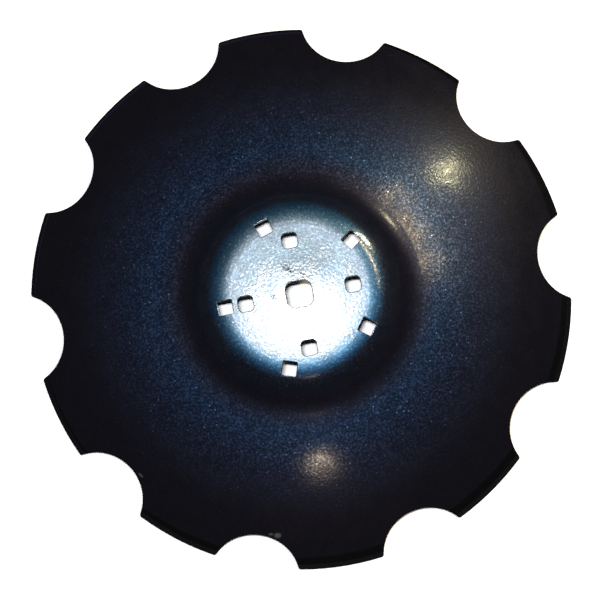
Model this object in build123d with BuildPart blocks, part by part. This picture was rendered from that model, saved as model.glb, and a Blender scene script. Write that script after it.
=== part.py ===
from build123d import *
import os
from math import asin, cos, degrees, radians, sin

# A notched harrow disc blade: one round of steel sheet, dished hot in a press, punched and notched.
# It lies as it comes to rest, with its rim on the ground and its bulging face up.
# Millimetres and degrees. The axis is Z, and Z is 0 where the rim touches the ground.

# The sheet
disc_diameter = 510.0
sheet_thickness = 5.0

# The pressed section, named from the middle outwards and measured on the bulging face
hub_flat_diameter = 126.0
shoulder_radius = 44.0
neck_angle = 38.0
neck_length = 2.0
foot_radius = 47.0
dish_radius = 680.0

# The cutting edge, ground on the bulging face
bevel_width = 7.0
edge_land = 1.8

# The square holes in the hub: both bolt circles start on the same radius
index_angle = 180.0
centre_hole_side = 24.0
centre_hole_corner = 7.5
inner_hole_count = 4
inner_hole_side = 14.0
inner_hole_corner = 4.0
inner_hole_circle = 98.0
outer_hole_count = 5
outer_hole_side = 13.0
outer_hole_corner = 1.0
outer_hole_circle = 135.0

# The rounding that the punches leave on the bulging face, round every hole
punched_edge_radius = 0.6

# The round notches in the rim, a little out of line with the holes
notch_count = 10
notch_radius = 42.0
notch_depth = 31.0
notch_turn = -1.7

# The corners of the teeth between the notches: their rounding runs out this far past the rim
tooth_corner_radius = 3.0
tooth_corner_overrun = 0.1

# Where the curves of the section meet: the foot of the neck runs into a ball face centred on the axis
hub_flat_radius = hub_flat_diameter / 2
neck_slope = radians(neck_angle)
neck_end_radius = hub_flat_radius + shoulder_radius * sin(neck_slope) + neck_length * cos(neck_slope)
neck_end_drop = shoulder_radius * (1 - cos(neck_slope)) + neck_length * sin(neck_slope)
foot_centre_radius = neck_end_radius + foot_radius * sin(neck_slope)
foot_centre_rise = foot_radius * cos(neck_slope) - neck_end_drop
foot_end_slope = asin(foot_centre_radius / (dish_radius + foot_radius))
dish_centre_drop = (dish_radius + foot_radius) * cos(foot_end_slope) - foot_centre_rise

# The edge that the bevel leaves stands at the full diameter, and its lower corner is on the ground
bevel_depth = sheet_thickness - edge_land
rim_slope = asin(disc_diameter / 2 / (dish_radius - bevel_depth))
hub_height = dish_centre_drop - (dish_radius - sheet_thickness) * cos(rim_slope)

section_plane = Plane(origin=(0, 0, hub_height), x_dir=(1, 0, 0), z_dir=(0, -1, 0))
hub_face_plane = Plane.XY.offset(hub_height)
notch_angle = index_angle + notch_turn
notch_circle_radius = disc_diameter / 2 - notch_depth + notch_radius
waste_inner_radius = disc_diameter / 2 + tooth_corner_overrun
waste_outer_radius = notch_circle_radius + 2 * notch_radius

# A wall counts as upright where the Z of its normal is no more than this
upright_limit = 0.01

with BuildPart() as disc_blade:
    # The dished sheet, turned about its axis
    with BuildSketch(section_plane) as section:
        with BuildLine():
            flat = Line((0, 0), (hub_flat_radius, 0))
            shoulder = JernArc(flat @ 1, flat % 1, shoulder_radius, -neck_angle)
            neck = PolarLine(shoulder @ 1, neck_length, direction=shoulder % 1)
            foot = JernArc(neck @ 1, neck % 1, foot_radius, neck_angle - degrees(foot_end_slope))
            JernArc(foot @ 1, foot % 1, dish_radius, degrees(foot_end_slope - rim_slope))
            offset(amount=sheet_thickness, side=Side.RIGHT)
        make_face()
        rim_corner = section.vertices().sort_by(Axis.X)[-1]
        rim_end = section.edges().filter_by(GeomType.LINE).sort_by(Axis.X)[-1]
        chamfer(rim_corner, length=bevel_depth, length2=bevel_width, reference=rim_end)
    revolve(axis=Axis.Z)

    # The centre hole and the two circles of bolt holes, each bolt hole with a side across its radius
    with BuildSketch(hub_face_plane):
        RectangleRounded(centre_hole_side, centre_hole_side, centre_hole_corner)
        with PolarLocations(inner_hole_circle / 2, inner_hole_count, start_angle=index_angle):
            RectangleRounded(inner_hole_side, inner_hole_side, inner_hole_corner)
        with PolarLocations(outer_hole_circle / 2, outer_hole_count, start_angle=index_angle):
            RectangleRounded(outer_hole_side, outer_hole_side, outer_hole_corner)
    extrude(amount=-hub_height, mode=Mode.SUBTRACT)

    # The punched edges: where an upright wall of a hole meets a face that looks up, from the middle outwards
    hole_walls = faces().filter_by(lambda face: abs(face.normal_at().Z) < upright_limit)
    bulging_faces = faces().filter_by(lambda face: face.normal_at().Z > upright_limit)
    punched_edges = hole_walls.edges() & bulging_faces.edges()
    fillet(punched_edges.sort_by_distance(hub_face_plane.origin), punched_edge_radius)

    # The notches, cut straight down through the rim: they open into a waste ring that clears it all round
    with BuildSketch() as waste:
        with Locations(Rotation(Z=notch_angle)):
            Circle(waste_outer_radius)
            Circle(waste_inner_radius, mode=Mode.SUBTRACT)
        with PolarLocations(notch_circle_radius, notch_count, start_angle=notch_angle):
            Circle(notch_radius)
        tooth_corners = waste.vertices().group_by(SortBy.DISTANCE)[0]
        fillet(tooth_corners, tooth_corner_radius)
    extrude(amount=hub_height, mode=Mode.SUBTRACT)

disc_blade.part.label = "disc_blade"

os.makedirs("parts", exist_ok=True)
export_step(disc_blade.part, "parts/disc_blade.step")
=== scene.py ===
from math import cos, radians, sin, sqrt

import bpy
from mathutils import Matrix, Vector


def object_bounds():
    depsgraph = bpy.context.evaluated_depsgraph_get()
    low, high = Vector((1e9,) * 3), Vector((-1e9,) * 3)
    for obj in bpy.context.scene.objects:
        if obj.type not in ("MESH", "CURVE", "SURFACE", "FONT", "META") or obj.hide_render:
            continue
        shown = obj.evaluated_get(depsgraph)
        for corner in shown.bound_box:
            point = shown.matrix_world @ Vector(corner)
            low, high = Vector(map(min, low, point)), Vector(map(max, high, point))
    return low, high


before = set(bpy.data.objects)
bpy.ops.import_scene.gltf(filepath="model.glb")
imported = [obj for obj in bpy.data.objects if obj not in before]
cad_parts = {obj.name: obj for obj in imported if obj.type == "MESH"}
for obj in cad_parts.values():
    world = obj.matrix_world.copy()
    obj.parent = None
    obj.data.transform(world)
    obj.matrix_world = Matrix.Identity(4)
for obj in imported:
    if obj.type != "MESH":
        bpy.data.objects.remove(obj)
cad_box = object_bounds()
disc_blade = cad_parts["disc_blade"]
hub_height = cad_box[1].z

# Lengths are in metres, the lens and the sensor in millimetres, the powers in watts.
# The camera looks down at the bulging face, a little from one side, and the blade lies turned
# in the picture. The framing moves the picture by parts of a pixel.
camera_distance = 1.2744
camera_tilt_x = radians(0.430)
camera_tilt_y = radians(-2.718)
camera_roll = radians(-10.455)
camera_lens = 80.92
camera_sensor = 36.0
picture_width = 600
framing_right = 0.48
framing_up = 0.80

# In the picture, the flash stands just above the lens and a little to its left,
# the strip lamp and the warm lamp to the right, and the tan lamp below
flash_above_lens = 0.072
flash_beside_lens = -0.036
flash_width = 0.100
flash_height = 0.025
flash_power = 10.39
flash_colour = (1.0, 1.0, 1.0)
strip_lamp_place = (1.205, 0.580, 2.456)
strip_lamp_turn = radians(-10.0)
strip_lamp_length = 0.95
strip_lamp_width = 0.20
strip_lamp_power = 17.72
strip_lamp_colour = (1.0, 0.76, 0.44)
warm_lamp_place = (1.750, 1.160, 2.340)
warm_lamp_width = 0.21
warm_lamp_power = 18.35
warm_lamp_colour = (1.0, 0.92, 0.53)
tan_lamp_place = (-0.100, -1.135, 1.775)
tan_lamp_width = 0.17
tan_lamp_power = 1.26
tan_lamp_colour = (1.0, 0.80, 0.58)
room_colour = (0.040, 0.040, 0.040)

# The floor, and how much paler it is shown to the camera and in mirror images
floor_width = 12.0
floor_colour = (0.96, 0.97, 1.00)
floor_paler = 1.60
floor_roughness = 0.8

# The lacquer's colour by the distance from a point near the axis, with painted light in it: a
# painted reflection of the flash, pale on the hub and blue round its edge; near black on the neck;
# a painted blue sheen on the dish near the neck, fading to near black at the rim; and painted
# shade, darker still, on the ground bevel
rim_radius = 0.255
# The middle of the painted reflection on the hub, a little off the axis
painted_reflection_middle = (-0.0020, 0.0051, 0.0)
lacquer_and_painted_light_colours = (
    (0.040, (0.0813, 0.1156, 0.1448)),
    (0.061, (0.1207, 0.1562, 0.1943)),
    (0.068, (0.0457, 0.1016, 0.1626)),
    (0.075, (0.0165, 0.0584, 0.1295)),
    (0.081, (0.0142, 0.0197, 0.0381)),
    (0.103, (0.0201, 0.0188, 0.0326)),
    (0.117, (0.0191, 0.0258, 0.0530)),
    (0.130, (0.0165, 0.0333, 0.0795)),
    (0.170, (0.0184, 0.0236, 0.0508)),
    (0.210, (0.0184, 0.0179, 0.0290)),
    (0.247, (0.0197, 0.0192, 0.0310)),
    (0.248, (0.0122, 0.0122, 0.0150)),
)
# The colour of a painted tan highlight on the rubbed places, and the pale grey of the chips
tan_painted_highlight_colour = (0.122, 0.102, 0.081)
chip_colour = (0.191, 0.193, 0.201)
lacquer_metal = 0.74
lacquer_edge_tint = (0.3, 0.3, 0.3)

# The lacquer's roughness, by the distance from the axis, and how far it varies
lacquer_roughness = (
    (0.075, 0.42),
    (0.095, 0.34),
    (0.140, 0.36),
    (0.185, 0.37),
    (0.230, 0.31),
)
roughness_spread = 0.03

# How strong the grain is, by the distance from the axis
grain_strengths = (
    (0.060, 0.34),
    (0.070, 0.55),
    (0.078, 0.50),
    (0.088, 0.15),
    (0.104, 0.20),
    (0.120, 1.00),
    (0.145, 1.00),
    (0.190, 0.25),
    (0.215, 0.12),
)

# The clear gloss over the lacquer, by the distance from the axis
gloss_weights = (
    (0.050, 0.34),
    (0.060, 0.13),
    (0.067, 0.16),
    (0.075, 0.96),
    (0.087, 0.96),
    (0.094, 0.12),
    (0.120, 0.17),
    (0.185, 0.155),
    (0.220, 0.085),
    (0.236, 0.030),
    (0.247, 0.030),
    (0.248, 0.000),
)
gloss_roughness = 0.15
gloss_refraction = 1.58

# The patterns in the lacquer: how fine each is, its detail and its roughness
grain_pattern = (480.0, 2.0, 0.8)
fleck_pattern = (240.0, 3.0, 0.7)
fine_fleck_pattern = (420.0, 2.0, 0.7)
patch_pattern = (70.0, 4.0, 0.5)
peel_pattern = (420.0, 2.0, 0.5)
flake_fineness = 215.0
peel_strength = 0.25
peel_height = 0.0003

# Ramps: the values where each starts and ends, and what it goes from and to if not from 0 to 1
grain_ramp = (0.42, 0.78, -0.36, 2.2)
flake_spot_ramp = (0.17, 0.07)
flake_light_ramp = (0.35, 1.0, 0.0, 12.0)
smudge_break_ramp = (0.40, 0.60)
scratch_break_ramp = (0.36, 0.50)
rubbed_highlight_break_ramp = (0.42, 0.60, 0.1, 1.0)
mark_fade_ramp = (1.0, 0.2)
sheen_patch_ramp = (0.3, 0.7, -roughness_spread, roughness_spread)
gloss_patch_ramp = (0.3, 0.7, 0.5, 1.5)
gloss_across_ramp = (-0.085, -0.005, 0.25, 1.0)

# How much the marks darken the lacquer, and how much gloss they add
smudge_darkening = 0.85
hub_patch_darkening = 0.30
scuffed_gloss = 0.54
rubbed_gloss = 0.30
scratched_gloss = 0.43

# Marks on the bulging face: the middle, the turn, the length and the width of each
# The rubbed places are glossier and carry a painted tan highlight
rubbed_highlight_patches = (
    (-0.0092, -0.1488, radians(-8), 0.024, 0.009),
    (0.0010, -0.1580, radians(-60), 0.016, 0.006),
)
scuffed_patches = ((-0.0060, -0.1610, 0.0, 0.076, 0.060),)
scratches = (
    (0.1525, 0.0785, radians(6), 0.017, 0.0024),
    (0.1540, 0.0880, radians(48), 0.014, 0.0022),
)
chips = (
    (-0.0607, -0.2140, radians(-10), 0.0095, 0.0070),
    (-0.0666, -0.2117, radians(-10), 0.0060, 0.0030),
    (-0.1757, -0.1365, radians(-56), 0.0080, 0.0028),
)
# A patch on the hub where the colour, with its painted reflection, is darker
darker_hub_patches = ((0.0070, 0.0240, radians(-10), 0.075, 0.040),)
smudges = (
    (-0.0060, 0.0240, radians(-43), 0.020, 0.0080),
    (0.0065, 0.0160, radians(-20), 0.024, 0.0075),
    (-0.0230, 0.0020, radians(-30), 0.013, 0.0075),
)


def add_node(tree, kind, inputs=(), **settings):
    """A node with its settings and its inputs, by name or number.

    An input that is given a socket is linked to it, and any other value is set.
    """
    node = tree.nodes.new(kind)
    for name, value in settings.items():
        setattr(node, name, value)
    for name, value in dict(inputs).items():
        socket = node.inputs[name]
        if isinstance(value, bpy.types.NodeSocket):
            tree.links.new(value, socket)
        else:
            socket.default_value = value
    return node


def number(tree, operation, *values):
    node = add_node(tree, "ShaderNodeMath", enumerate(values), operation=operation)
    return node.outputs["Value"]


def times(tree, first, second):
    return number(tree, "MULTIPLY", first, second)


def times_plus(tree, first, second, third):
    return number(tree, "MULTIPLY_ADD", first, second, third)


def larger(tree, first, second):
    return number(tree, "MAXIMUM", first, second)


def vector(tree, operation, *values):
    """What a sum of vectors gives: its Vector or, for a length or a distance, its Value."""
    node = add_node(tree, "ShaderNodeVectorMath", enumerate(values), operation=operation)
    return node.outputs


def scaled(tree, colour, share):
    inputs = {"Vector": colour, "Scale": share}
    return add_node(tree, "ShaderNodeVectorMath", inputs, operation="SCALE").outputs["Vector"]


def noise(tree, place, scale, detail, roughness):
    inputs = {"Vector": place, "Scale": scale, "Detail": detail, "Roughness": roughness}
    return add_node(tree, "ShaderNodeTexNoise", inputs).outputs["Fac"]


def ramp(tree, value, start, end, low=0.0, high=1.0):
    """Goes smoothly from low to high while the value goes from start to end."""
    inputs = {"Value": value, "From Min": start, "From Max": end, "To Min": low, "To Max": high}
    node = add_node(tree, "ShaderNodeMapRange", inputs, interpolation_type="SMOOTHSTEP")
    return node.outputs["Result"]


def marks(tree, place, marks_list):
    """1 in the middle of each mark, and 0 outside them all."""
    cover = 0.0
    for x, y, turn, length, width in marks_list:
        inputs = {
            "Vector": place,
            "Location": (x, y, 0),
            "Rotation": (0, 0, turn),
            "Scale": (length / 2, width / 2, 1),
        }
        inside = add_node(tree, "ShaderNodeMapping", inputs, vector_type="TEXTURE")
        inside = vector(tree, "LENGTH", inside.outputs["Vector"])["Value"]
        cover = larger(tree, ramp(tree, inside, *mark_fade_ramp), cover)
    return cover


def by_radius(tree, radius, stops):
    """A colour or a grey that changes with a distance, from one stop to the next."""
    share = times(tree, radius, 1 / rim_radius)
    node = add_node(tree, "ShaderNodeValToRGB", {"Fac": share})
    elements = node.color_ramp.elements
    while len(elements) < len(stops):
        elements.new(1.0)
    for element, (stop_radius, value) in zip(elements, stops):
        element.position = stop_radius / rim_radius
        element.color = (*value, 1) if isinstance(value, tuple) else (value, value, value, 1)
    return node.outputs["Color"]


def lacquer():
    """The blue-black lacquer: fine grain, flakes that catch the light, a skin like orange peel, and
    a painted reflection and sheen in its colour.
    """
    material = bpy.data.materials.new("flake_lacquer")
    material.use_nodes = True
    tree = material.node_tree
    shader = tree.nodes["Principled BSDF"]
    shader.inputs["Metallic"].default_value = lacquer_metal
    shader.inputs["Specular IOR Level"].default_value = 0.0
    shader.inputs["Specular Tint"].default_value = (*lacquer_edge_tint, 1)
    shader.inputs["Coat Roughness"].default_value = gloss_roughness
    shader.inputs["Coat IOR"].default_value = gloss_refraction

    place = add_node(tree, "ShaderNodeTexCoord").outputs["Object"]
    flat_place = vector(tree, "MULTIPLY", place, (1, 1, 0))["Vector"]
    radius = vector(tree, "LENGTH", flat_place)["Value"]
    colour_radius = vector(tree, "DISTANCE", flat_place, painted_reflection_middle)["Value"]

    # Fine grain, and a few flakes much brighter than the rest: both are strongest on the dish
    grain = ramp(tree, noise(tree, place, *grain_pattern), *grain_ramp)
    flake_inputs = {"Vector": place, "Scale": flake_fineness}
    flakes = add_node(tree, "ShaderNodeTexVoronoi", flake_inputs).outputs
    flake_spots = ramp(tree, flakes["Distance"], *flake_spot_ramp)
    flake_light = ramp(tree, flakes["Color"], *flake_light_ramp)
    sparkle = times_plus(tree, flake_spots, flake_light, grain)
    speckle = times_plus(tree, sparkle, by_radius(tree, radius, grain_strengths), 1.0)

    # The smudges, the scratches, the rubbed places with their painted highlight and the scuffed
    # places are broken up by flecks and grain
    flecks = noise(tree, place, *fleck_pattern)
    fine_flecks = noise(tree, place, *fine_fleck_pattern)
    smudge_breaks = ramp(tree, fine_flecks, *smudge_break_ramp)
    scratch_breaks = ramp(tree, flecks, *scratch_break_ramp)
    rubbed_highlight_breaks = ramp(tree, flecks, *rubbed_highlight_break_ramp)
    smudged = times(tree, marks(tree, flat_place, smudges), smudge_breaks)
    scratched = times(tree, marks(tree, flat_place, scratches), scratch_breaks)
    rubbed_highlight = times(tree, marks(tree, flat_place, rubbed_highlight_patches), rubbed_highlight_breaks)
    scuffed = times(tree, marks(tree, flat_place, scuffed_patches), speckle)

    # Smudges and a patch on the hub darken the colour, chips are paler, and the rubbed places
    # get a painted tan highlight
    clean = times_plus(tree, smudged, -smudge_darkening, 1.0)
    clean = times_plus(tree, marks(tree, flat_place, darker_hub_patches), -hub_patch_darkening, clean)
    shade = times(tree, speckle, clean)
    # The colour holds the painted flash reflection on the hub and the painted sheen on the dish
    colour = scaled(tree, by_radius(tree, colour_radius, lacquer_and_painted_light_colours), shade)
    chipped = marks(tree, flat_place, chips)
    for pale_mark, pale_mark_colour in ((rubbed_highlight, tan_painted_highlight_colour), (chipped, chip_colour)):
        colour = vector(tree, "MULTIPLY_ADD", pale_mark, pale_mark_colour, colour)["Vector"]
    tree.links.new(colour, shader.inputs["Base Color"])

    # The sheen is a little uneven, and the gloss lies in patches and is weaker towards -Y
    patches = noise(tree, place, *patch_pattern)
    unevenness = ramp(tree, patches, *sheen_patch_ramp)
    roughness = number(tree, "ADD", by_radius(tree, radius, lacquer_roughness), unevenness)
    tree.links.new(roughness, shader.inputs["Roughness"])
    place_y = add_node(tree, "ShaderNodeSeparateXYZ", {"Vector": place}).outputs["Y"]
    gloss = times(tree, by_radius(tree, radius, gloss_weights), shade)
    gloss = times(tree, gloss, ramp(tree, patches, *gloss_patch_ramp))
    gloss = times(tree, gloss, ramp(tree, place_y, *gloss_across_ramp))
    gloss = times_plus(tree, scuffed, scuffed_gloss, gloss)
    gloss = times_plus(tree, rubbed_highlight, rubbed_gloss, gloss)
    gloss = times_plus(tree, scratched, scratched_gloss, gloss)
    tree.links.new(gloss, shader.inputs["Coat Weight"])

    peel = noise(tree, place, *peel_pattern)
    bump_inputs = {"Height": peel, "Strength": peel_strength, "Distance": peel_height}
    bump = add_node(tree, "ShaderNodeBump", bump_inputs)
    tree.links.new(bump.outputs["Normal"], shader.inputs["Normal"])
    tree.links.new(bump.outputs["Normal"], shader.inputs["Coat Normal"])
    return material


def pale_floor():
    """A matt floor that is shown paler than it lights the blade."""
    material = bpy.data.materials.new("pale_floor")
    material.use_nodes = True
    tree = material.node_tree
    shader = tree.nodes["Principled BSDF"]
    rays = add_node(tree, "ShaderNodeLightPath").outputs
    seen = rays["Is Camera Ray"]
    for ray in (rays["Is Glossy Ray"], rays["Is Transmission Ray"]):
        seen = larger(tree, seen, ray)
    colour = scaled(tree, floor_colour, times_plus(tree, seen, floor_paler - 1, 1.0))
    tree.links.new(colour, shader.inputs["Base Color"])
    shader.inputs["Roughness"].default_value = floor_roughness
    shader.inputs["Specular IOR Level"].default_value = 0.0
    return material


def add_lamp(name, power, colour, width, height=None):
    """A lamp that is round, or oblong if it has a height."""
    lamp_data = bpy.data.lights.new(name, "AREA")
    lamp_data.shape = "RECTANGLE" if height else "DISK"
    lamp_data.energy = power
    lamp_data.color = colour
    lamp_data.size = width
    if height:
        lamp_data.size_y = height
    lamp = bpy.data.objects.new(name, lamp_data)
    bpy.context.scene.collection.objects.link(lamp)
    return lamp


def aimed_at_hub(place):
    aim = Vector((0, 0, hub_height)) - Vector(place)
    return Matrix.Translation(place) @ aim.to_track_quat("-Z", "Y").to_matrix().to_4x4()


# The camera
camera_back = Vector((sin(camera_tilt_x), sin(camera_tilt_y), 0))
camera_back.z = sqrt(1 - camera_back.length_squared)
camera_side = Vector((-sin(camera_roll), cos(camera_roll), 0)).cross(camera_back)
camera_right = camera_side.normalized()
camera_up = camera_back.cross(camera_right)
camera_turn = Matrix((camera_right, camera_up, camera_back)).transposed().to_4x4()
metres_per_pixel = camera_distance * camera_sensor / (camera_lens * picture_width)
camera_place = camera_back * camera_distance
camera_place -= (camera_right * framing_right + camera_up * framing_up) * metres_per_pixel

camera_data = bpy.data.cameras.new("camera")
camera_data.lens = camera_lens
camera_data.sensor_width = camera_sensor
camera_data.sensor_fit = "HORIZONTAL"
camera = bpy.data.objects.new("camera", camera_data)
camera.matrix_world = Matrix.Translation(camera_place) @ camera_turn
bpy.context.scene.collection.objects.link(camera)
bpy.context.scene.camera = camera

# The lamps and the dim room
flash = add_lamp("flash", flash_power, flash_colour, flash_width, flash_height)
flash_place = camera_place + camera_up * flash_above_lens + camera_right * flash_beside_lens
flash.matrix_world = Matrix.Translation(flash_place) @ camera_turn

strip_size = (strip_lamp_length, strip_lamp_width)
strip_lamp = add_lamp("strip_lamp", strip_lamp_power, strip_lamp_colour, *strip_size)
strip_turn = Matrix.Rotation(strip_lamp_turn, 4, "Z")
strip_lamp.matrix_world = aimed_at_hub(strip_lamp_place) @ strip_turn

warm_lamp = add_lamp("warm_lamp", warm_lamp_power, warm_lamp_colour, warm_lamp_width)
warm_lamp.matrix_world = aimed_at_hub(warm_lamp_place)

tan_lamp = add_lamp("tan_lamp", tan_lamp_power, tan_lamp_colour, tan_lamp_width)
tan_lamp.matrix_world = aimed_at_hub(tan_lamp_place)

room = bpy.data.worlds.new("room")
room.use_nodes = True
room.node_tree.nodes["Background"].inputs["Color"].default_value = (*room_colour, 1)
bpy.context.scene.world = room

# The blade's finish and the floor under it
disc_blade.material_slots[0].material = lacquer()

bpy.ops.mesh.primitive_plane_add(size=floor_width)
floor = bpy.context.object
floor.name = "floor"
floor.data.materials.append(pale_floor())

bpy.context.scene.view_settings.view_transform = "Standard"
